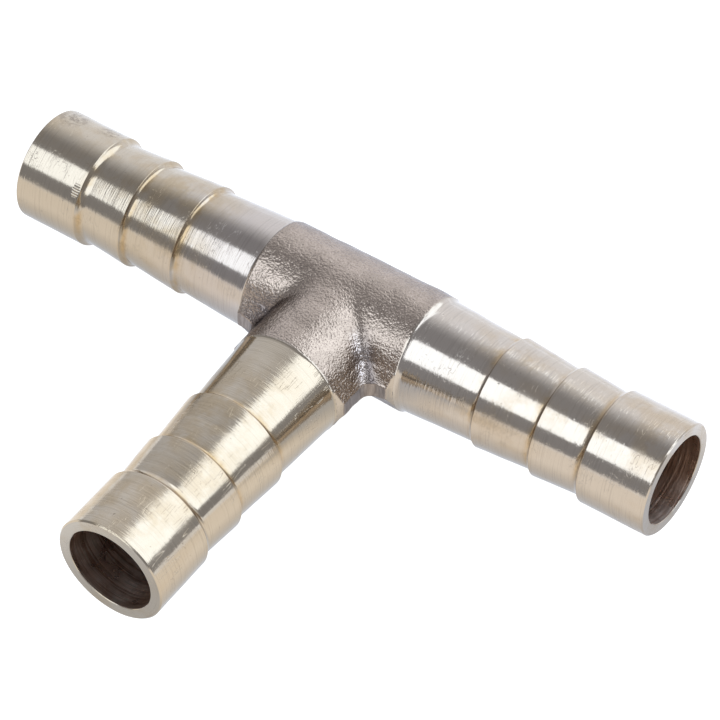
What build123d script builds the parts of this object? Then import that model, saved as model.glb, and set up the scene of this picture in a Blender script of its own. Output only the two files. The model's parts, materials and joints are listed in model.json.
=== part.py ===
from build123d import *

import os
from math import sqrt

# Barbed tee connector for 10 mm hose: a forged centre with three turned hose tails.
# The run lies along X and the branch points along -Y.  The origin is where the two bore axes cross.
# Millimetres, +Z up.

# ---- driving dimensions, mm ----
BORE_RADIUS = 3.95

# Reach of each tail's tip from the crossing of the axes
RUN_REACH = 31.4
BRANCH_REACH = 33.1

# Hose tail; stations run along its axis from the tip
TAIL_LENGTH = 23.7
LAND_RADIUS = 5.0
ROOT_RADIUS = 5.03
TIP_CHAMFER = 0.12
# One row for each barb: station of its step, crest radius, foot radius under the step, foot fillet
BARBS = (
    (6.20, LAND_RADIUS, 4.60, 0.80),
    (10.85, 4.90, 4.55, 0.40),
    (16.30, 4.95, 4.64, 0.40),
)

# Spigot that each tail seats in the forged body
SPIGOT_RADIUS = 4.45
SPIGOT_LENGTH = 3.5

# Forged body: a round skin with a trimmed flash land along the parting plane, Z = 0
RUN_SKIN_RADIUS = 5.20
RUN_LAND_HALF_WIDTH = 5.65
BRANCH_SKIN_RADIUS = 5.15
BRANCH_LAND_HALF_WIDTH = 5.50
LAND_HEIGHT = 1.4
CROTCH_RADIUS = 1.0
VALLEY_RADIUS = 1.4

# ---- derived ----
RUN_SHOULDER = RUN_REACH - TAIL_LENGTH
BRANCH_SHOULDER = BRANCH_REACH - TAIL_LENGTH

# How near to a plane an edge has to be, when it is picked by position
PICK_SLACK = 0.1


def hose_tail(name, tip, inward):
    """Turned hose tail with its tip face at a point and its axis running inward from there."""
    side = Vector(inward).cross(Vector(0, 0, 1))
    half_section = Plane(origin=tip, x_dir=inward, z_dir=side)
    with BuildPart() as tail:
        with BuildSketch(half_section):
            with BuildLine():
                Line((0, BORE_RADIUS), (0, LAND_RADIUS - TIP_CHAMFER))
                Line((0, LAND_RADIUS - TIP_CHAMFER), (TIP_CHAMFER, LAND_RADIUS))
                start = (TIP_CHAMFER, LAND_RADIUS)
                for station, crest_radius, foot_radius, fillet_radius in BARBS:
                    drop = crest_radius - foot_radius
                    run_out = sqrt(fillet_radius**2 - (fillet_radius - drop) ** 2)
                    foot = (station + run_out, foot_radius)
                    Line(start, (station, crest_radius))
                    RadiusArc((station, crest_radius), foot, -fillet_radius)
                    start = foot
                Polyline(
                    start,
                    (TAIL_LENGTH, ROOT_RADIUS),
                    (TAIL_LENGTH, SPIGOT_RADIUS),
                    (TAIL_LENGTH + SPIGOT_LENGTH, SPIGOT_RADIUS),
                    (TAIL_LENGTH + SPIGOT_LENGTH, BORE_RADIUS),
                    (0, BORE_RADIUS),
                )
            make_face()
        revolve(axis=Axis(tip, inward))
    tail.part.label = name
    return tail


# ---- forged body ----
ARMS = (
    (Plane.YZ.offset(-RUN_SHOULDER), RUN_SKIN_RADIUS, RUN_LAND_HALF_WIDTH, 2 * RUN_SHOULDER),
    (Plane.XZ, BRANCH_SKIN_RADIUS, BRANCH_LAND_HALF_WIDTH, BRANCH_SHOULDER),
)
SHOULDERS = (
    (Plane(origin=(RUN_SHOULDER, 0, 0), z_dir=(1, 0, 0)), RUN_SHOULDER),
    (Plane(origin=(-RUN_SHOULDER, 0, 0), z_dir=(-1, 0, 0)), RUN_SHOULDER),
    (Plane(origin=(0, -BRANCH_SHOULDER, 0), z_dir=(0, -1, 0)), BRANCH_SHOULDER),
)

with BuildPart() as tee_body:
    for plane, skin_radius, land_half_width, length in ARMS:
        with BuildSketch(plane):
            Circle(skin_radius)
            Rectangle(2 * land_half_width, LAND_HEIGHT)
        extrude(amount=length)

    # The two inside corners of the flash land, where the branch leaves the run
    upright_edges = tee_body.edges().filter_by(Axis.Z)
    crotches = upright_edges.filter_by_position(
        Axis.Y, -RUN_LAND_HALF_WIDTH - PICK_SLACK, -RUN_LAND_HALF_WIDTH + PICK_SLACK
    ).filter_by_position(Axis.X, -RUN_SHOULDER + PICK_SLACK, RUN_SHOULDER - PICK_SLACK)
    fillet(crotches, CROTCH_RADIUS)

    # The saddle-shaped valleys between the two round skins, above and below the land
    fillet(tee_body.edges().filter_by(GeomType.BSPLINE), VALLEY_RADIUS)

    # Each shoulder has a socket for its tail, and the flow bore goes on to the crossing of the axes
    for shoulder, depth in SHOULDERS:
        with Locations(shoulder):
            CounterBoreHole(BORE_RADIUS, SPIGOT_RADIUS, SPIGOT_LENGTH, depth=depth)
tee_body.part.label = "tee_body"

# ---- turned tails ----
TAILS = (
    hose_tail("left_run_tail", (-RUN_REACH, 0, 0), (1, 0, 0)),
    hose_tail("right_run_tail", (RUN_REACH, 0, 0), (-1, 0, 0)),
    hose_tail("branch_tail", (0, -BRANCH_REACH, 0), (0, 1, 0)),
)

os.makedirs("parts", exist_ok=True)
for piece in (tee_body, *TAILS):
    export_step(piece.part, f"parts/{piece.part.label}.step")
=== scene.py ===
"""Looks for the barbed tee connector: forged centre, turned hose tails, studio.

Lengths here are in metres, and MM turns millimetres into metres.
"""

import json
import math

import bmesh
import bpy
import numpy as np
from mathutils import Matrix, Vector


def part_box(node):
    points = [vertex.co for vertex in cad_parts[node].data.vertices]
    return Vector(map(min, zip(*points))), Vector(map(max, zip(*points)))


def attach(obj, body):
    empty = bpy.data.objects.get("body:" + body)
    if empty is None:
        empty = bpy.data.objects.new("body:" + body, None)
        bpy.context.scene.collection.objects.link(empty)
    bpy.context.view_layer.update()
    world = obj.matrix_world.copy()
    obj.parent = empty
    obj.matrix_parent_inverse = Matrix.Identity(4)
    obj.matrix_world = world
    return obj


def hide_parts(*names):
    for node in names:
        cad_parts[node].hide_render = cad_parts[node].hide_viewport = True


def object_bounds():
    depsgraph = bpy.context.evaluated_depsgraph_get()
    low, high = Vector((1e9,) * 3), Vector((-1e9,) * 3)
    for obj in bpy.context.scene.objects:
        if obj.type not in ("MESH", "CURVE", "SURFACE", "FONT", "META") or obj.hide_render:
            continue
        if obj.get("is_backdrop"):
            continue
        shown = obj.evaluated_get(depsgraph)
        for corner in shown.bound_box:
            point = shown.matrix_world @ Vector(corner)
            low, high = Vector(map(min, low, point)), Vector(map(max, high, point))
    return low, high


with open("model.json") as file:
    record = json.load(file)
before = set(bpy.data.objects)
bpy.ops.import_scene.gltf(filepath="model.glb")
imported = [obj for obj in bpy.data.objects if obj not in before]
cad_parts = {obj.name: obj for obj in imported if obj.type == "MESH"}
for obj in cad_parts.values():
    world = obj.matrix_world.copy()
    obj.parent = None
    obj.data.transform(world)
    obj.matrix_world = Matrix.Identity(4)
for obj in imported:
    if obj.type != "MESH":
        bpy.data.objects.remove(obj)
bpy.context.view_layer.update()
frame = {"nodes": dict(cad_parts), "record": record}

MM = 0.001
SEED = 11

# ---- places and sizes, read from the frame except for the spigot's radius ----
MOUNTS = {mount["name"]: mount for mount in frame["record"]["mounts"]}
BORE_RADIUS = MOUNTS["run_bore"]["dims"]["r_mm"] * MM
RUN_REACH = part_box("right_run_tail")[1].x
BRANCH_REACH = -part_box("branch_tail")[0].y
RUN_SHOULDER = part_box("tee_body")[1].x
BRANCH_SHOULDER = -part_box("tee_body")[0].y
SKIN_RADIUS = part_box("tee_body")[1].z
LAND_HALF_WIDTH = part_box("tee_body")[1].y
SPIGOT_LENGTH = RUN_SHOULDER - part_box("right_run_tail")[0].x
SPIGOT_RADIUS = 4.45 * MM


# ------------------------------------------------------------------ meshes
def mesh_object(name, points, faces, material_index=None):
    """A linked mesh object from arrays of points and faces, shaded smooth."""
    mesh = bpy.data.meshes.new(name)
    mesh.from_pydata([tuple(p) for p in points], [], [tuple(f) for f in faces])
    mesh.polygons.foreach_set("use_smooth", [True] * len(mesh.polygons))
    if material_index is not None:
        mesh.polygons.foreach_set("material_index", material_index)
    mesh.update()
    thing = bpy.data.objects.new(name, mesh)
    bpy.context.scene.collection.objects.link(thing)
    return thing


def cad_outline(node, tip, axis):
    """(station, radius) points of a turned CAD node's outside, in order from its tip to its root."""
    tip = np.array(tip)
    axis = np.array(axis, float)
    points = np.array([v.co for v in frame["nodes"][node].data.vertices], float) - tip
    stations = points @ axis
    radii = np.linalg.norm(points - stations[:, None] * axis, axis=1)
    pairs = sorted({(round(s, 6), round(r, 6)) for s, r in zip(stations, radii)})
    root = max(s for s, r in pairs if r > SPIGOT_RADIUS + 0.05 * MM)
    outside = [(s, r) for s, r in pairs if r > SPIGOT_RADIUS + 0.05 * MM and s <= root]
    spigot_end = max(s for s, _ in pairs)
    spigot_radius = max(r for s, r in pairs if s > root + 0.1 * MM)
    return np.array(outside), root, spigot_end, spigot_radius


def smooth_noise(count, step, wavelength, rng):
    """One line of seeded noise, about unit size, with features no shorter than the wavelength."""
    raw = np.fft.rfft(rng.standard_normal(count))
    frequency = np.fft.rfftfreq(count, step)
    raw *= np.exp(-((frequency * wavelength) ** 2))
    line = np.fft.irfft(raw, count)
    return line / line.std()


TAIL_SEGMENTS = 180
COARSE_STEP = 0.25 * MM
FINE_STEP = 0.02 * MM
EDGE_ROUNDING = 0.03 * MM
TIP_CHAMFER = 0.3 * MM
SCRIBE_WIDTH = 0.045 * MM
WAVINESS = ((3.0 * MM, 0.006 * MM), (0.8 * MM, 0.0014 * MM))  # (wavelength, size)
BARB_DROP = 0.02 * MM
BARB_SPACING = 1.5 * MM
# Middle and reach of the painted golden-brown shade in the fillet behind each barb
FOOT_SHADE_MIDDLE = 0.28 * MM
FOOT_SHADE_REACH = 0.30 * MM


def tail_profile(outline, root, root_fillet, skirt, scribes, rng):
    """Stations and radii along a tail's outside.

    The CAD outline gets broken edges, scribed lines near the tip, the faint waviness of a turned surface
    and the fillet that meets the forged skin.
    """
    line = np.arange(0, root + FINE_STEP, FINE_STEP)
    line[-1] = root
    radius = np.interp(line, outline[:, 0], outline[:, 1])

    # Break the crest edges: a short blur along the axis, but not over the tip chamfer
    reach = int(3 * EDGE_ROUNDING / FINE_STEP)
    kernel = np.exp(-0.5 * (np.arange(-reach, reach + 1) * FINE_STEP / EDGE_ROUNDING) ** 2)
    blurred = np.convolve(np.pad(radius, reach, mode="edge"), kernel / kernel.sum(), mode="valid")
    radius = np.where(line < TIP_CHAMFER, radius, blurred)

    for station, depth in scribes:
        radius -= depth * np.exp(-(((line - station) / SCRIBE_WIDTH) ** 2))

    for wavelength, size in WAVINESS:
        radius += size * smooth_noise(len(line), FINE_STEP, wavelength, rng)

    # Concave fillet up to the skin at the shoulder
    into = np.clip(line - (root - skirt), 0, None)
    radius += root_fillet - np.sqrt(np.clip(root_fillet**2 - into**2, 0, None))

    # Keep every point where the outline bends, and a few between
    bend = np.abs(np.gradient(np.gradient(radius, FINE_STEP), FINE_STEP))
    keep = np.convolve(bend > 0.35 / MM, np.ones(5), mode="same") > 0
    keep |= np.arange(len(line)) % round(COARSE_STEP / FINE_STEP) == 0
    keep[[0, -1]] = True
    return line[keep], radius[keep]


def painted_foot_shade_share(outline, stations):
    """How much painted shade sits at each station: a golden-brown darkening of the fillet behind each barb.
    """
    steps = zip(outline[:-1], outline[1:])
    drops = [s for (s, r), (_, after) in steps if s > 1 * MM and after < r - BARB_DROP]
    barbs = [s for i, s in enumerate(drops) if i == 0 or s - drops[i - 1] > BARB_SPACING]
    share = np.zeros(len(stations))
    for barb in barbs:
        behind = np.clip(stations - barb, -9 * MM, 9 * MM) - FOOT_SHADE_MIDDLE
        share = np.maximum(share, np.exp(-((behind / FOOT_SHADE_REACH) ** 2)))
    return share


def revolved(name, rings, tip, axis):
    """Closed surface of revolution; a ring is (station, radius, sharp, material of the strip after it)."""
    axis = np.array(axis, float)
    side = np.cross(axis, (0, 0, 1))
    up = np.array((0, 0, 1.0))
    turn = np.linspace(0, 2 * math.pi, TAIL_SEGMENTS, endpoint=False)
    circle = np.cos(turn)[:, None] * side + np.sin(turn)[:, None] * up
    points = np.concatenate([np.array(tip) + s * axis + r * circle for s, r, _, _ in rings])

    here = np.arange(TAIL_SEGMENTS)
    after = (here + 1) % TAIL_SEGMENTS
    faces = []
    index = []
    for i in range(len(rings)):
        a = i * TAIL_SEGMENTS
        b = ((i + 1) % len(rings)) * TAIL_SEGMENTS
        faces.append(np.stack([a + here, b + here, b + after, a + after], axis=1))
        index += [rings[i][3]] * TAIL_SEGMENTS
    thing = mesh_object(name, points, np.concatenate(faces), index)

    work = bmesh.new()
    work.from_mesh(thing.data)
    bmesh.ops.recalc_face_normals(work, faces=work.faces)
    work.verts.ensure_lookup_table()
    for i, ring in enumerate(rings):
        if ring[2]:
            for j in range(TAIL_SEGMENTS):
                v = work.verts[i * TAIL_SEGMENTS + j]
                w = work.verts[i * TAIL_SEGMENTS + (j + 1) % TAIL_SEGMENTS]
                work.edges.get((v, w)).smooth = False
    work.to_mesh(thing.data)
    work.free()
    return thing


# Material slots of a tail, the broken edge of its bore, and the spacing of the rings along the bore
TURNED = 0
BORE = 1
BORE_BREAK = 0.05 * MM
BORE_STEP = 1.5 * MM

# Scribed lines near each tip: (distance from the tip, depth)
SCRIBES = {
    "right_run_tail": ((0.95 * MM, 0.008 * MM),),
    "left_run_tail": ((0.66 * MM, 0.011 * MM), (1.65 * MM, 0.006 * MM), (4.30 * MM, 0.003 * MM)),
    "branch_tail": ((3.10 * MM, 0.002 * MM),),
}


def hose_tail(cad_node, tip, axis, root_fillet, skirt, seed):
    """One turned tail, spigot included, in place of its CAD node."""
    rng = np.random.default_rng(seed)
    outline, root, spigot_end, spigot_radius = cad_outline(cad_node, tip, axis)
    stations, radii = tail_profile(outline, root, root_fillet, skirt, SCRIBES[cad_node], rng)
    face_inner = BORE_RADIUS + BORE_BREAK
    face_width = radii[0] - face_inner

    rings = [(0.0, face_inner, True, TURNED)]
    rings += [(0.0, face_inner + share * face_width, False, TURNED) for share in (0.2, 0.5, 0.8)]
    rings += [(s, r, i in (0, len(stations) - 1), TURNED) for i, (s, r) in enumerate(zip(stations, radii))]
    rings.append((root, spigot_radius, True, TURNED))
    rings.append((spigot_end, spigot_radius, True, TURNED))
    rings.append((spigot_end, BORE_RADIUS, True, BORE))
    for s in np.arange(math.floor(spigot_end / BORE_STEP), 0, -1) * BORE_STEP:
        if s < spigot_end - 0.2 * MM:
            rings.append((s, BORE_RADIUS, False, BORE))
    rings.append((BORE_BREAK, BORE_RADIUS, True, TURNED))
    tail = revolved("turned_" + cad_node, rings, tip, axis)

    ring_stations = np.array([ring[0] for ring in rings])
    outside = np.array([ring[1] for ring in rings]) > SPIGOT_RADIUS + 0.05 * MM
    # Painted shade: how strongly the fillet behind each barb is darkened, kept on the points
    painted_foot_shade = painted_foot_shade_share(outline, ring_stations) * outside
    zone = tail.data.attributes.new("painted_foot_shade", "FLOAT", "POINT")
    zone.data.foreach_set("value", np.repeat(painted_foot_shade, TAIL_SEGMENTS).astype(np.float32))
    return tail


# ------------------------------------------------------------------ forged centre
GRID = 0.10 * MM
MARGIN = 0.35 * MM
TURNED_RADIUS = 5.03 * MM
LAND_HALF_HEIGHT = 0.7 * MM
BRANCH_LAND_HALF_WIDTH = LAND_HALF_WIDTH - 0.15 * MM
BRANCH_SKIN_RADIUS = SKIN_RADIUS - 0.12 * MM
VALLEY_BLEND = 1.2 * MM  # between the skins of run and branch
FLARE_BLEND = 0.5 * MM  # between skin and flash land
FLARE_SLOPE = 0.8  # how fast the land draws in above its sheared face
FLARE_HEIGHT = 1.0 * MM
CORNER_BLEND = 1.5 * MM  # inside corners of the land
ZONE_EDGE = 0.09 * MM


def field_noise(shape, wavelength, rng):
    """Seeded noise on the grid, about unit size, with no feature much shorter than the wavelength."""
    spectrum = np.fft.rfftn(rng.standard_normal(shape).astype(np.float32))
    fx = np.fft.fftfreq(shape[0], GRID)[:, None, None]
    fy = np.fft.fftfreq(shape[1], GRID)[None, :, None]
    fz = np.fft.rfftfreq(shape[2], GRID)[None, None, :]
    spectrum *= np.exp(-(fx**2 + fy**2 + fz**2) * (0.75 * wavelength) ** 2)
    field = np.fft.irfftn(spectrum, shape)
    return (field / field.std()).astype(np.float32)


def soft_union(a, b, width):
    """The smaller of two distances, blended over a width."""
    h = np.clip(0.5 + 0.5 * (b - a) / np.maximum(width, 1e-9), 0, 1)
    return b + (a - b) * h - width * h * (1 - h)


def turned_limit(x, y, z, shoulder):
    """Distance outside what the turning tool leaves at a shoulder: a flat face and a concave fillet."""
    axis, reach, fillet, skirt = shoulder
    along = x * axis[0] + y * axis[1]
    across = np.sqrt(y * y + z * z) if axis[0] else np.sqrt(x * x + z * z)
    start = reach + skirt
    back = np.clip(start - along, 0, fillet)
    profile = TURNED_RADIUS + fillet - np.sqrt(np.clip(fillet**2 - back**2, 0, None))
    return np.minimum(across - profile, along - (start - fillet))


def bore_distance(x, y, z, shoulder):
    """Distance outside one arm's bore and the socket at its mouth."""
    axis, reach, _, _ = shoulder
    along = x * axis[0] + y * axis[1]
    across = np.sqrt(y * y + z * z) if axis[0] else np.sqrt(x * x + z * z)
    bore = np.maximum(across - BORE_RADIUS, -along)
    socket = np.maximum(across - SPIGOT_RADIUS, reach - SPIGOT_LENGTH - along)
    return np.minimum(bore, socket)


def forged_field(x, y, z, shape, rng):
    """Signed distance to the forged skin: round arms, blended valleys and the flash land."""
    unevenness = 0.022 * MM * field_noise(shape, 4.0 * MM, rng)
    unevenness = unevenness + 0.003 * MM * field_noise(shape, 0.9 * MM, rng)
    run_radius = np.sqrt(y * y + z * z)
    branch_radius = np.sqrt(x * x + z * z)
    run = run_radius - SKIN_RADIUS
    branch = np.maximum(branch_radius - BRANCH_SKIN_RADIUS, y)

    # The valley is softest where the two skins meet steeply, and the saddle on top adds little
    steepness = np.sqrt(1 - np.clip(z * z / np.maximum(run_radius * branch_radius, 1e-9), 0, 1))
    skin = soft_union(run, branch, VALLEY_BLEND * (0.2 + 0.55 * steepness))

    land_run = np.abs(y) - LAND_HALF_WIDTH
    land_branch = np.maximum(np.abs(x) - BRANCH_LAND_HALF_WIDTH, y)
    land_plan = soft_union(land_run, land_branch, np.full(1, CORNER_BLEND, np.float32))
    edge_wander = 0.06 * MM * field_noise(shape, 2.2 * MM, rng)
    above = np.abs(z) - LAND_HALF_HEIGHT + edge_wander
    land = np.maximum(land_plan + FLARE_SLOPE * np.clip(above, 0, None), above - FLARE_HEIGHT)

    grain = 0.005 * MM * field_noise(shape, 0.26 * MM, rng)
    away_from_land = np.clip((np.abs(z) - LAND_HALF_HEIGHT) / (0.4 * MM), 0, 1)
    rough = soft_union(skin + unevenness, land, np.full(1, FLARE_BLEND, np.float32))
    return rough + grain * (0.25 + 0.75 * away_from_land)


def surface_net(field, origin, step):
    """Quad mesh of the zero surface of a field on a grid (naive surface nets)."""
    inside = field < 0
    nx, ny, nz = field.shape
    total = np.zeros((nx - 1, ny - 1, nz - 1, 3), np.float32)
    count = np.zeros((nx - 1, ny - 1, nz - 1), np.float32)
    corner = [slice(0, -1), slice(1, None)]
    for axis in range(3):
        others = [a for a in range(3) if a != axis]
        for p in (0, 1):
            for q in (0, 1):
                low = [None] * 3
                low[others[0]] = corner[p]
                low[others[1]] = corner[q]
                high = list(low)
                low[axis] = corner[0]
                high[axis] = corner[1]
                a = field[tuple(low)]
                b = field[tuple(high)]
                cut = (a < 0) != (b < 0)
                share = np.where(cut, a / np.where(cut, a - b, 1), 0)
                total[..., axis] += share
                total[..., others[0]] += cut * p
                total[..., others[1]] += cut * q
                count += cut
    cells = np.argwhere(count > 0)
    number = -np.ones(count.shape, np.int64)
    number[tuple(cells.T)] = np.arange(len(cells))
    offset = total[tuple(cells.T)] / count[tuple(cells.T)][:, None]
    points = origin + (cells + offset) * step

    faces = []
    for axis in range(3):
        u, v = [(1, 2), (2, 0), (0, 1)][axis]
        low = [slice(1, -1)] * 3
        high = [slice(1, -1)] * 3
        low[axis] = slice(0, -1)
        high[axis] = slice(1, None)
        change = inside[tuple(low)] != inside[tuple(high)]
        edges = np.argwhere(change)
        outward = inside[tuple(low)][tuple(edges.T)]
        base = edges + 1
        base[:, axis] -= 1
        around = []
        for du, dv in ((-1, -1), (0, -1), (0, 0), (-1, 0)):
            cell = base.copy()
            cell[:, u] += du
            cell[:, v] += dv
            around.append(number[tuple(cell.T)])
        quad = np.stack(around, axis=1)
        quad[~outward] = quad[~outward][:, ::-1]
        faces.append(quad)
    return points, np.concatenate(faces)


# Each shoulder: arm axis, distance along it, fillet radius and how far the fillet runs out along the tail
SHOULDERS = {
    "right_run_tail": ((1, 0, 0), RUN_SHOULDER, 1.0 * MM, 0.54 * MM),
    "left_run_tail": ((-1, 0, 0), RUN_SHOULDER, 0.25 * MM, 0.15 * MM),
    "branch_tail": ((0, -1, 0), BRANCH_SHOULDER, 0.7 * MM, 0.25 * MM),
}


def thin_bores(body):
    """Fewer faces inside the bores, where nothing fine is seen."""
    x, y, z = np.array([v.co for v in body.data.vertices], float).T
    inside = np.zeros(len(x), bool)
    for shoulder in SHOULDERS.values():
        inside |= np.abs(bore_distance(x, y, z, shoulder)) < 0.06 * MM
    group = body.vertex_groups.new(name="bores")
    group.add(np.flatnonzero(inside).tolist(), 1.0, "REPLACE")
    fewer = body.modifiers.new("fewer", "DECIMATE")
    fewer.ratio = 0.62
    fewer.vertex_group = group.name
    graph = bpy.context.evaluated_depsgraph_get()
    thinned = bpy.data.meshes.new_from_object(body.evaluated_get(graph))
    body.modifiers.clear()
    body.vertex_groups.clear()
    body.data = thinned
    thinned.polygons.foreach_set("use_smooth", [True] * len(thinned.polygons))


# Darker valleys: width, middle and highest point, on either side of the branch.  Painted highlight beside
# the right valley: middle, width, top.
VALLEY_DARK_LEFT = (2.3 * MM, 0.0, 2.6 * MM)
VALLEY_DARK_RIGHT = (0.60 * MM, -0.35 * MM, 3.2 * MM)
PAINTED_HIGHLIGHT = (0.75 * MM, 0.5 * MM, 4.1 * MM)


def mark_zones(body):
    """Where the forged centre is turned, bored, sheared land, darker along the valleys, or painted with a
    highlight beside the right valley.
    """
    points = np.array([v.co for v in body.data.vertices], float)
    normals = np.array([v.normal for v in body.data.vertices], float)
    x, y, z = points.T
    turned = np.zeros(len(points))
    bored = np.zeros(len(points))
    for shoulder in SHOULDERS.values():
        turned = np.maximum(turned, 1 - np.abs(turned_limit(x, y, z, shoulder)) / ZONE_EDGE)
        bored = np.maximum(bored, 1 - np.abs(bore_distance(x, y, z, shoulder)) / ZONE_EDGE)

    # Across a valley: zero on its line, negative towards the run, positive towards the branch
    side = np.hypot(y, z) - SKIN_RADIUS - np.hypot(x, z) + BRANCH_SKIN_RADIUS
    sides = zip(VALLEY_DARK_LEFT, VALLEY_DARK_RIGHT)
    reach, middle, ceiling = (np.where(x < 0, left, right) for left, right in sides)
    # Darker along the valleys between run and branch
    valley_dark = np.exp(-(((side - middle) / reach) ** 2)) * np.clip((ceiling + 1 * MM - z) / (1.6 * MM), 0, 1)
    valley_dark *= (y < -0.5 * SKIN_RADIUS) * (y > -BRANCH_SHOULDER + 1.5 * MM)
    # Painted highlight on the branch side of the right valley, below its top and above the land
    middle, reach, top = PAINTED_HIGHLIGHT
    painted_highlight = np.exp(-(((side - middle) / reach) ** 2)) * np.clip((top - z) / (1.2 * MM), 0, 1)
    painted_highlight *= (x > 0) * (y < -0.5 * SKIN_RADIUS) * np.clip((z - LAND_HALF_HEIGHT) / (0.6 * MM), 0, 1)
    land = np.clip((LAND_HALF_HEIGHT + 0.05 * MM - np.abs(z)) / (0.12 * MM), 0, 1)
    land *= np.clip(1.6 - 2.2 * np.abs(normals[:, 2]), 0, 1)
    zones = {
        "turned": np.clip(2 * turned, 0, 1),
        "bored": np.clip(2 * bored, 0, 1),
        "land": land,
        "valley_dark": valley_dark,
        "painted_highlight": painted_highlight,
    }
    for name, value in zones.items():
        zone = body.data.attributes.new(name, "FLOAT", "POINT")
        zone.data.foreach_set("value", value.astype(np.float32))


def forged_centre():
    """The forged body: skin from the field, flat turned shoulders, bored and socketed."""
    rng = np.random.default_rng(SEED)
    low = np.array([-RUN_SHOULDER, -BRANCH_SHOULDER, -SKIN_RADIUS]) - MARGIN
    high = np.array([RUN_SHOULDER, LAND_HALF_WIDTH, SKIN_RADIUS]) + MARGIN
    lines = [np.arange(a, b, GRID, dtype=np.float32) for a, b in zip(low, high)]
    x, y, z = np.meshgrid(*lines, indexing="ij")
    field = forged_field(x, y, z, x.shape, rng)
    for shoulder in SHOULDERS.values():
        field = np.maximum(field, turned_limit(x, y, z, shoulder))
    for shoulder in SHOULDERS.values():
        field = np.maximum(field, -bore_distance(x, y, z, shoulder))
    points, faces = surface_net(field, low, GRID)
    body = mesh_object("forged_centre", points, faces)

    # Cut flat at the three shoulders
    work = bmesh.new()
    work.from_mesh(body.data)
    for axis, shoulder, _, _ in SHOULDERS.values():
        normal = Vector(axis)
        cut = bmesh.ops.bisect_plane(
            work,
            geom=work.verts[:] + work.edges[:] + work.faces[:],
            plane_co=normal * shoulder,
            plane_no=normal,
            clear_outer=True,
        )
        rim = [e for e in cut["geom_cut"] if isinstance(e, bmesh.types.BMEdge)]
        bmesh.ops.triangle_fill(work, use_beauty=True, edges=rim)
    bmesh.ops.recalc_face_normals(work, faces=work.faces)
    work.to_mesh(body.data)
    work.free()
    thin_bores(body)
    mark_zones(body)
    return body


# ------------------------------------------------------------------ shader graphs
def node(tree, kind, inputs=None, **settings):
    """One shader node with its settings made and its inputs linked or set."""
    made = tree.nodes.new(kind)
    for key, value in settings.items():
        setattr(made, key, value)
    for key, value in (inputs or {}).items():
        if isinstance(value, bpy.types.NodeSocket):
            tree.links.new(value, made.inputs[key])
        else:
            made.inputs[key].default_value = value
    return made


def new_material(name):
    """A material with its own shader tree, its Principled shader and the object coordinates."""
    material = bpy.data.materials.new(name)
    material.use_nodes = True
    tree = material.node_tree
    shader = tree.nodes["Principled BSDF"]
    place = node(tree, "ShaderNodeTexCoord").outputs["Object"]
    return material, tree, shader, place


def maths(tree, operation, a, b=0.0, c=0.0):
    """One step of arithmetic on sockets or numbers."""
    return node(tree, "ShaderNodeMath", {0: a, 1: b, 2: c}, operation=operation).outputs[0]


def times(tree, a, b):
    return maths(tree, "MULTIPLY", a, b)


def larger(tree, a, b):
    return maths(tree, "MAXIMUM", a, b)


def absolute(tree, a):
    return maths(tree, "ABSOLUTE", a)


def distance_2d(tree, a, b):
    """Length of the vector (a, b)."""
    square = maths(tree, "MULTIPLY_ADD", a, a, times(tree, b, b))
    return maths(tree, "SQRT", square)


def scaled(colour, factors):
    """A plain colour multiplied by a factor for each channel."""
    return tuple(c * f for c, f in zip(colour, factors))


def zone_value(tree, name):
    """A point attribute of the mesh as a number."""
    return node(tree, "ShaderNodeAttribute", attribute_name=name).outputs["Fac"]


def noise(tree, place, scale, detail=2.0, roughness=0.5, stretch=(1, 1, 1), offset=(0, 0, 0)):
    """Noise value about 0.5, with features of 1 / scale metres, stretched along chosen axes."""
    moved = node(tree, "ShaderNodeMapping", {"Vector": place, "Scale": stretch, "Location": offset})
    made = node(
        tree,
        "ShaderNodeTexNoise",
        {"Vector": moved.outputs[0], "Scale": scale, "Detail": detail, "Roughness": roughness},
    )
    return made.outputs["Fac"]


def spread(tree, value, low, high, to_low=0.0, to_high=1.0):
    """Smooth step of a value from one range to another."""
    made = node(
        tree,
        "ShaderNodeMapRange",
        {"Value": value, "From Min": low, "From Max": high, "To Min": to_low, "To Max": to_high},
        interpolation_type="SMOOTHSTEP",
    )
    return made.outputs[0]


def blend_colour(tree, share, a, b):
    """Mix of two colours, each a socket or a plain colour."""
    made = node(tree, "ShaderNodeMix", {"Factor": share}, data_type="RGBA")
    for socket, value in ((made.inputs[6], a), (made.inputs[7], b)):
        if isinstance(value, bpy.types.NodeSocket):
            tree.links.new(value, socket)
        else:
            socket.default_value = (*value, 1.0)
    return made.outputs[2]


def bump(tree, height, distance, normal=None):
    """Relief from a height, laid over an earlier relief if there is one."""
    inputs = {"Height": height, "Distance": distance, "Strength": 1.0}
    if normal is not None:
        inputs["Normal"] = normal
    return node(tree, "ShaderNodeBump", inputs).outputs[0]


# ------------------------------------------------------------------ materials
PER_MM = 1 / MM
ROUND_THE_AXIS = 0.035  # how little the lathe marks change round the axis


def lathe_place(tree, place, x_along, shift):
    """Coordinates that follow turned work, then the distances along, beside and above the axis."""
    parts = node(tree, "ShaderNodeSeparateXYZ", {"Vector": place}).outputs
    along, side, up = (parts[0], parts[1], parts[2]) if x_along else (parts[1], parts[0], parts[2])
    profile = maths(tree, "ADD", along, distance_2d(tree, side, up))
    made = node(
        tree,
        "ShaderNodeCombineXYZ",
        {
            0: maths(tree, "ADD", profile, shift),
            1: times(tree, side, ROUND_THE_AXIS),
            2: times(tree, up, ROUND_THE_AXIS),
        },
    )
    return made.outputs[0], along, side, up


# Greyer film and the painted golden-brown shade behind the barbs, as factors on the tail's own colour; rate
# of the gripping marks round the axis
FILM_FACTORS = (0.90, 0.83, 0.72)
FOOT_SHADE_FACTORS = (0.86, 0.70, 0.46)
TICKS_PER_TURN = 140.0


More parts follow.
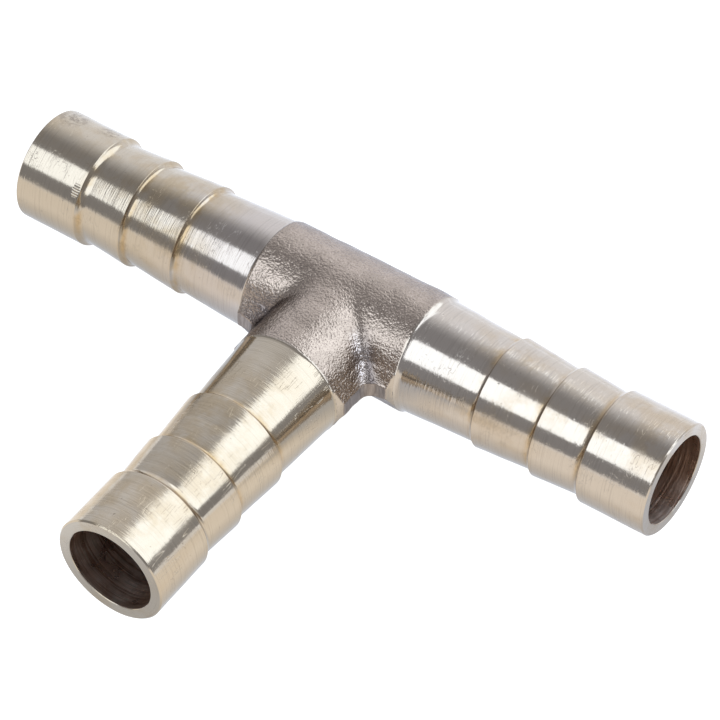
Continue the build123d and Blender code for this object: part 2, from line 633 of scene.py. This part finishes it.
def turned_brass(name, axis, seed, finish, stains=(), ticks=None):
    """Bright lathe-turned brass: fine rings round the axis, hairline scratches, a faint film, painted shade
    in the ring grooves and painted golden-brown shade behind the barbs.

    Each stain is (distance along the axis, beside it, above it, size); ticks is (distance along the axis,
    length, angle of the middle) of one row of gripping marks.
    """
    material, tree, shader, place = new_material(name)
    tint, neck_tint, ring_depth, hairline_depth, polish = finish
    x_along = axis[0] != 0
    patchy = (0.30, 1.0, 1.0) if x_along else (1.0, 0.30, 1.0)
    shift = (0.01 * seed, 0.013 * seed, 0.017 * seed)
    lathe, along, side, up = lathe_place(tree, place, x_along, 0.021 * seed)

    rings = noise(tree, lathe, 7.5 * PER_MM, 1.5, 0.65)
    bold_rings = noise(tree, lathe, 1.5 * PER_MM, 2.0, 0.55)
    patches = noise(tree, place, 0.16 * PER_MM, 3.0, 0.55, patchy, shift)
    smudges = noise(tree, place, 0.45 * PER_MM, 4.0, 0.6, (1, 1, 1), shift)
    specks = noise(tree, place, 2.6 * PER_MM, 2.0, 0.5, (1, 1, 1), shift)

    # Colour: clean brass, greyer smudges, painted shade in the ring grooves, painted golden-brown shade in
    # the fillets behind the barbs, dark specks
    foot_shade_mix = zone_value(tree, "painted_foot_shade")
    film = times(tree, spread(tree, patches, 0.38, 0.60), spread(tree, smudges, 0.34, 0.62))
    outward = absolute(tree, along)
    film = times(tree, film, spread(tree, outward, 9.0 * MM, 17.0 * MM, 0.15, 1.0))
    colour = blend_colour(tree, spread(tree, outward, 10.0 * MM, 20.0 * MM), neck_tint, tint)
    colour = blend_colour(tree, film, colour, scaled(tint, FILM_FACTORS))
    # Painted shade in the bottoms of the lathe rings
    ring_shade = spread(tree, rings, 0.30, 0.50, 0.10, 0.0)
    colour = blend_colour(tree, ring_shade, colour, (0.10, 0.08, 0.06))
    # Painted golden-brown shade in the fillets behind the barbs, patchy with the smudges
    foot_shade_mix = times(tree, foot_shade_mix, spread(tree, smudges, 0.35, 0.65, 0.15, 0.85))
    colour = blend_colour(tree, foot_shade_mix, colour, scaled(tint, FOOT_SHADE_FACTORS))
    dirt = times(tree, spread(tree, specks, 0.71, 0.80), 0.5)
    for on_axis, beside_axis, above_axis, reach in stains:
        centre = (on_axis, beside_axis, above_axis) if x_along else (beside_axis, on_axis, above_axis)
        apart = node(tree, "ShaderNodeVectorMath", {0: place, 1: centre}, operation="DISTANCE")
        gap = apart.outputs["Value"]
        blotch = noise(tree, place, 2.2 * PER_MM, 4.0, 0.65)
        near = spread(tree, gap, 0.2 * reach, reach, 1.0, 0.0)
        blot = times(tree, near, spread(tree, blotch, 0.40, 0.62))
        dirt = larger(tree, dirt, times(tree, blot, 0.60))
    colour = blend_colour(tree, dirt, colour, (0.13, 0.09, 0.065))
    tree.links.new(colour, shader.inputs["Base Color"])

    rough = maths(tree, "MULTIPLY_ADD", smudges, 0.14, polish)
    rough = maths(tree, "MULTIPLY_ADD", film, 0.08, rough)
    rough = maths(tree, "MULTIPLY_ADD", dirt, 0.25, rough)
    tree.links.new(rough, shader.inputs["Roughness"])
    shader.inputs["Metallic"].default_value = 1.0
    shader.inputs["Anisotropic"].default_value = 0.5
    shader.inputs["Anisotropic Rotation"].default_value = 0.25
    tangent = node(tree, "ShaderNodeTangent", direction_type="RADIAL", axis="X" if x_along else "Y")
    tree.links.new(tangent.outputs[0], shader.inputs["Tangent"])

    # Relief: rings whose depth comes and goes, scratches, and a slight orange peel
    depth = spread(tree, patches, 0.32, 0.66, 0.35, 1.0)
    normal = bump(tree, times(tree, rings, depth), 0.020 * MM * ring_depth)
    normal = bump(tree, times(tree, bold_rings, depth), 0.030 * MM * ring_depth, normal)
    long_round = (1.0, 0.16, 0.16) if x_along else (0.16, 1.0, 0.16)
    turned_place = node(tree, "ShaderNodeMapping", {"Vector": place, "Scale": long_round}).outputs[0]
    hairlines = spread(tree, noise(tree, turned_place, 7.0 * PER_MM, 1.0, 0.5), 0.56, 0.70)
    normal = bump(tree, hairlines, 0.005 * MM * hairline_depth, normal)
    slant = {"Vector": place, "Rotation": (0.7, 0.5, 0.9), "Scale": (1.0, 0.05, 0.6)}
    slanted_place = node(tree, "ShaderNodeMapping", slant).outputs[0]
    hair = noise(tree, slanted_place, 3.2 * PER_MM, 1.0, 0.5)
    line = spread(tree, absolute(tree, maths(tree, "SUBTRACT", hair, 0.5)), 0.0, 0.012, 1.0, 0.0)
    scratched = times(tree, line, spread(tree, smudges, 0.54, 0.62))
    normal = bump(tree, scratched, -0.010 * MM, normal)
    normal = bump(tree, smudges, 0.006 * MM, normal)
    if ticks:
        row, length, middle = ticks
        angle = maths(tree, "ARCTAN2", up, times(tree, side, -1.0))
        teeth = maths(tree, "SINE", times(tree, angle, TICKS_PER_TURN))
        off_row = absolute(tree, maths(tree, "SUBTRACT", along, row))
        off_middle = absolute(tree, maths(tree, "SUBTRACT", angle, middle))
        in_row = spread(tree, off_row, 0.30 * length, 0.60 * length, 1.0, 0.0)
        marked = times(tree, in_row, spread(tree, off_middle, math.radians(4), math.radians(9), 1.0, 0.0))
        normal = bump(tree, times(tree, teeth, marked), 0.013 * MM, normal)
        # Painted shade between the gripping marks, at the troughs of their teeth
        painted_gap_shade = times(tree, marked, spread(tree, teeth, -0.2, 0.5, 0.75, 0.0))
        colour = blend_colour(tree, painted_gap_shade, colour, (0.16, 0.13, 0.10))
        tree.links.new(colour, shader.inputs["Base Color"])
    tree.links.new(normal, shader.inputs["Normal"])
    return material


def bore_brass(name, x_along):
    """Inside of a drilled bore: dull, brown and oily, with drill rings, a few brighter scratches and a
    painted sheen on its lower side.
    """
    material, tree, shader, place = new_material(name)
    lathe, _, side, up = lathe_place(tree, place, x_along, 0.05)
    rings = noise(tree, lathe, 3.4 * PER_MM, 3.0, 0.65)
    patches = noise(tree, place, 0.5 * PER_MM, 3.0, 0.6)
    scuffs = noise(tree, lathe, 5.0 * PER_MM, 1.0, 0.5)
    worn = times(tree, spread(tree, scuffs, 0.58, 0.66), spread(tree, patches, 0.46, 0.60))
    # Painted sheen: the lower inside of the bore made lighter, in streaks along the drill rings
    height = maths(tree, "ADD", up, times(tree, side, 0.5))
    painted_sheen = spread(tree, height, -4.0 * MM, -1.2 * MM, 0.9, 0.0)
    painted_sheen = times(tree, painted_sheen, spread(tree, rings, 0.36, 0.54, 0.35, 1.0))
    colour = blend_colour(tree, spread(tree, rings, 0.38, 0.60), (0.40, 0.25, 0.168), (0.53, 0.355, 0.25))
    colour = blend_colour(tree, painted_sheen, colour, (0.95, 0.85, 0.77))
    colour = blend_colour(tree, worn, colour, (0.72, 0.66, 0.58))
    tree.links.new(colour, shader.inputs["Base Color"])
    rough = spread(tree, patches, 0.3, 0.7, 0.26, 0.38)
    tree.links.new(rough, shader.inputs["Roughness"])
    shader.inputs["Metallic"].default_value = 1.0
    tree.links.new(bump(tree, rings, 0.045 * MM), shader.inputs["Normal"])
    return material


def forged_brass(name):
    """Shot-blasted forged skin, darker along the valleys, with painted shade in the grain pits, a painted
    highlight beside the right valley, smoother trimmed land and bright turned shoulders by zone.
    """
    material, tree, shader, place = new_material(name)
    turned = zone_value(tree, "turned")
    land = zone_value(tree, "land")
    bored = zone_value(tree, "bored")

    grain = noise(tree, place, 5.7 * PER_MM, 1.5, 0.6)
    pits = node(
        tree,
        "ShaderNodeTexVoronoi",
        {"Vector": place, "Scale": 4.9 * PER_MM, "Randomness": 1.0},
        feature="SMOOTH_F1",
    ).outputs["Distance"]
    patches = noise(tree, place, 0.5 * PER_MM, 3.0, 0.6)

    share = spread(tree, patches, 0.35, 0.7)
    skin = blend_colour(tree, share, (0.418, 0.339, 0.276), (0.346, 0.280, 0.227))
    # Darker along the valleys between run and branch
    valley_dark = zone_value(tree, "valley_dark")
    valley_dark = times(tree, valley_dark, spread(tree, patches, 0.2, 0.55, 0.55, 0.85))
    skin = blend_colour(tree, valley_dark, skin, (0.15, 0.125, 0.12))
    # Painted highlight: lighter skin on the branch side of the right valley
    painted_highlight = zone_value(tree, "painted_highlight")
    painted_highlight = times(tree, painted_highlight, spread(tree, grain, 0.36, 0.56, 0.2, 1.0))
    skin = blend_colour(tree, painted_highlight, skin, (0.74, 0.67, 0.64))
    # Painted shade in the pits of the blasted grain
    painted_pit_shade = spread(tree, grain, 0.34, 0.52, 0.42, 0.0)
    skin = blend_colour(tree, painted_pit_shade, skin, (0.20, 0.155, 0.13))
    streaks = noise(tree, place, 5.0 * PER_MM, 3.0, 0.6, (1.0, 1.0, 0.12))
    share = spread(tree, streaks, 0.35, 0.65)
    sheared = blend_colour(tree, share, (0.23, 0.19, 0.165), (0.33, 0.28, 0.245))
    skin = blend_colour(tree, land, skin, sheared)
    skin = blend_colour(tree, turned, skin, (0.45, 0.385, 0.315))
    colour = blend_colour(tree, bored, skin, (0.48, 0.34, 0.25))
    tree.links.new(colour, shader.inputs["Base Color"])

    smooth = larger(tree, land, turned)
    rough = spread(tree, patches, 0.3, 0.7, 0.17, 0.23)
    rough = maths(tree, "MULTIPLY_ADD", land, 0.12, rough)
    rough = maths(tree, "MULTIPLY_ADD", turned, -0.14, rough)
    tree.links.new(rough, shader.inputs["Roughness"])
    shader.inputs["Metallic"].default_value = 1.0
    shader.inputs["Specular Tint"].default_value = (0.72, 0.73, 0.76, 1.0)

    blasted = maths(tree, "SUBTRACT", 1.0, times(tree, smooth, 0.93))
    height = maths(tree, "ADD", grain, times(tree, pits, -0.4))
    normal = bump(tree, times(tree, height, blasted), 0.062 * MM)
    normal = bump(tree, times(tree, streaks, land), 0.03 * MM, normal)
    tree.links.new(normal, shader.inputs["Normal"])
    return material


# ------------------------------------------------------------------ build the fitting
TIPS = {
    "right_run_tail": (RUN_REACH, 0, 0),
    "left_run_tail": (-RUN_REACH, 0, 0),
    "branch_tail": (0, -BRANCH_REACH, 0),
}
# Colour of the tail and of its neck, depth of the lathe rings and of the hairlines, and least roughness
FINISHES = {
    "right_run_tail": ((0.490, 0.423, 0.350), (0.487, 0.426, 0.364), 0.6, 1.0, 0.075),
    "left_run_tail": ((0.453, 0.387, 0.303), (0.452, 0.395, 0.347), 1.1, 0.5, 0.09),
    "branch_tail": ((0.480, 0.408, 0.316), (0.480, 0.406, 0.312), 0.36, 0.4, 0.06),
}

centre = forged_centre()
centre.data.materials.append(forged_brass("shot_blasted_brass"))
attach(centre, "root")
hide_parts("tee_body")

bore_materials = {
    True: bore_brass("drilled_brass_run", True),
    False: bore_brass("drilled_brass_branch", False),
}
for number, (cad_node, (outward, _, fillet, skirt)) in enumerate(SHOULDERS.items()):
    inward = tuple(-a for a in outward)
    tail = hose_tail(cad_node, TIPS[cad_node], inward, fillet, skirt, SEED + number)
    extra = {}
    if cad_node == "left_run_tail":
        extra["stains"] = (
            (-RUN_REACH + 1.3 * MM, 1.9 * MM, 4.6 * MM, 2.0 * MM),
            (-RUN_REACH + 4.9 * MM, 2.5 * MM, 4.3 * MM, 1.5 * MM),
        )
        extra["ticks"] = (-RUN_REACH + 5.80 * MM, 0.65 * MM, math.radians(39))
    turned = turned_brass("turned_brass_" + cad_node, outward, number + 1, FINISHES[cad_node], **extra)
    tail.data.materials.append(turned)
    tail.data.materials.append(bore_materials[outward[0] != 0])
    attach(tail, "root")
    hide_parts(cad_node)


# ------------------------------------------------------------------ studio
KEY = 1.3
COOL = (0.98, 1.05, 1.18)
WARM = (1.02, 1.0, 0.97)


def direction(azimuth, elevation):
    """Unit vector; azimuth 0 is towards -Y and turns towards +X, in degrees."""
    a = math.radians(azimuth)
    e = math.radians(elevation)
    return Vector((math.sin(a) * math.cos(e), -math.cos(a) * math.cos(e), math.sin(e)))


def emission(name, colour, strength):
    """A material that only shines."""
    material = bpy.data.materials.new(name)
    material.use_nodes = True
    tree = material.node_tree
    tree.nodes.clear()
    glow = node(tree, "ShaderNodeEmission", {"Color": (*colour, 1.0), "Strength": strength})
    out = node(tree, "ShaderNodeOutputMaterial")
    tree.links.new(glow.outputs[0], out.inputs[0])
    return material


def card(name, azimuth, elevation, distance, width, height, material):
    """A flat studio panel facing the origin, hidden from the camera; width and height are (low, high)."""
    away = direction(azimuth, elevation)
    right = Vector((math.cos(math.radians(azimuth)), math.sin(math.radians(azimuth)), 0))
    up = away.cross(right)
    middle = away * distance
    near, far = (right * u for u in width)
    low, high = (up * v for v in height)
    corners = [middle + near + low, middle + far + low, middle + far + high, middle + near + high]
    panel = mesh_object(name, corners, [(0, 1, 2, 3)])
    panel.data.materials.append(material)
    panel.visible_camera = False
    panel.visible_shadow = False
    panel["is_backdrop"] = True
    return panel


def level_plane(name, half_size, level):
    """A square at one height, its middle above or below the origin."""
    corners = [(x * half_size, y * half_size, level) for x, y in ((-1, -1), (1, -1), (1, 1), (-1, 1))]
    return mesh_object(name, corners, [(0, 1, 2, 3)])


SOFTBOX = emission("softbox_light", (0.82, 0.92, 1.05), 2.05 * KEY)
card("softbox_left", -5, 42, 0.6, (-0.45, 0.38), (-0.162, 0.264), SOFTBOX)
card("softbox_right", 140, 40, 0.6, (-0.45, 0.38), (-0.215, 0.294), SOFTBOX)


def floor():
    """Plain pale floor, partly self-lit so that it stays an even white, and dimmer far from the fitting."""
    plane = level_plane("floor", 4.0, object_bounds()[0][2])
    material, tree, shader, place = new_material("pale_floor")
    tree.nodes.remove(shader)
    out = tree.nodes["Material Output"]
    away = node(tree, "ShaderNodeVectorMath", {0: place}, operation="LENGTH").outputs["Value"]
    behind = spread(tree, node(tree, "ShaderNodeSeparateXYZ", {"Vector": place}).outputs[1], 0.0, 0.07)
    strength = spread(tree, away, 0.08, 0.40, 0.80 * KEY, 0.45 * KEY)
    strength = larger(tree, strength, times(tree, behind, 0.9 * KEY))
    tone = blend_colour(tree, behind, (1.0, 1.0, 1.0), COOL)
    glow = node(tree, "ShaderNodeEmission", {"Color": tone, "Strength": strength})
    matte = node(tree, "ShaderNodeBsdfDiffuse", {"Color": (0.25, 0.25, 0.25, 1)})
    both = node(tree, "ShaderNodeAddShader")
    tree.links.new(glow.outputs[0], both.inputs[0])
    tree.links.new(matte.outputs[0], both.inputs[1])
    tree.links.new(both.outputs[0], out.inputs[0])
    plane.data.materials.append(material)
    plane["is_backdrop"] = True


def contact_shade():
    """The floor as the metal sees it: darker close to the fitting.  Seen in reflections only."""
    plane = level_plane("contact_shade", 0.09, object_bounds()[0][2] + 0.02 * MM)
    material, tree, shader, place = new_material("contact_shade")
    tree.nodes.remove(shader)
    out = tree.nodes["Material Output"]
    x, y, _ = node(tree, "ShaderNodeSeparateXYZ", {"Vector": place}).outputs

    # Gap in plan to the nearest point on the axis of the run or of the branch
    past_tip = larger(tree, maths(tree, "SUBTRACT", absolute(tree, x), RUN_REACH), 0.0)
    to_run = distance_2d(tree, y, past_tip)
    past_end = larger(tree, maths(tree, "SUBTRACT", times(tree, y, -1.0), BRANCH_REACH), y)
    to_branch = distance_2d(tree, x, larger(tree, past_end, 0.0))
    gap = maths(tree, "MINIMUM", to_run, to_branch)
    strength = spread(tree, gap, 3.0 * MM, 13.0 * MM, 0.58 * KEY, 0.98 * KEY)

    # Warm in front, except between the left neck and the branch
    left_of_neck = spread(tree, x, -16.0 * MM, -10.0 * MM, 1.0, 0.0)
    clear = larger(tree, left_of_neck, spread(tree, x, -2.0 * MM, 2.0 * MM))
    in_front = spread(tree, y, -2.0 * MM, 6.0 * MM, 1.0, 0.0)
    front = times(tree, spread(tree, gap, 2.0 * MM, 9.0 * MM), in_front)
    front = times(tree, front, clear)
    tone = blend_colour(tree, front, COOL, WARM)
    glow = node(tree, "ShaderNodeEmission", {"Color": tone, "Strength": strength})
    tree.links.new(glow.outputs[0], out.inputs[0])
    plane.data.materials.append(material)
    plane.visible_camera = False
    plane.visible_diffuse = False
    plane.visible_shadow = False
    plane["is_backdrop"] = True


def studio_world():
    """Dim room with a broad, slightly cool backdrop behind the fitting."""
    world = bpy.data.worlds.new("studio")
    bpy.context.scene.world = world
    world.use_nodes = True
    tree = world.node_tree
    tree.nodes.clear()
    look = node(tree, "ShaderNodeTexCoord").outputs["Generated"]
    backdrop = direction(-172, 10)
    toward = node(tree, "ShaderNodeVectorMath", {0: look, 1: tuple(backdrop)}, operation="DOT_PRODUCT")
    angle = maths(tree, "ARCCOSINE", toward.outputs["Value"])
    share = spread(tree, angle, math.radians(30), math.radians(74), 1.0, 0.0)
    colour = blend_colour(tree, share, (0.30, 0.315, 0.355), COOL)
    glow = node(tree, "ShaderNodeBackground", {"Color": colour, "Strength": KEY})
    out = node(tree, "ShaderNodeOutputWorld")
    tree.links.new(glow.outputs[0], out.inputs[0])


def camera():
    """Long lens at the product view: from the front right, looking down on the tee.

    The angles are in degrees and the offset moves the view to the right and up.
    """
    azimuth, elevation, roll = 34.311, 47.756, 0.399
    distance = 305.88 * MM
    offset = (-0.734 * MM, 3.692 * MM)
    back = direction(azimuth, elevation)
    level = Vector((math.cos(math.radians(azimuth)), math.sin(math.radians(azimuth)), 0))
    up = back.cross(level)
    turn = math.radians(roll)
    right = level * math.cos(turn) + up * math.sin(turn)
    up = back.cross(right)
    data = bpy.data.cameras.new("product_camera")
    data.sensor_width = 36.0
    data.lens = 184.33
    data.clip_start = 0.01
    data.clip_end = 20
    thing = bpy.data.objects.new("product_camera", data)
    bpy.context.scene.collection.objects.link(thing)
    place = back * distance - right * offset[0] - up * offset[1]
    thing.matrix_world = Matrix.Translation(place) @ Matrix((right, up, back)).transposed().to_4x4()
    bpy.context.scene.camera = thing


floor()
contact_shade()
studio_world()
camera()
bpy.context.scene.view_settings.view_transform = "Standard"
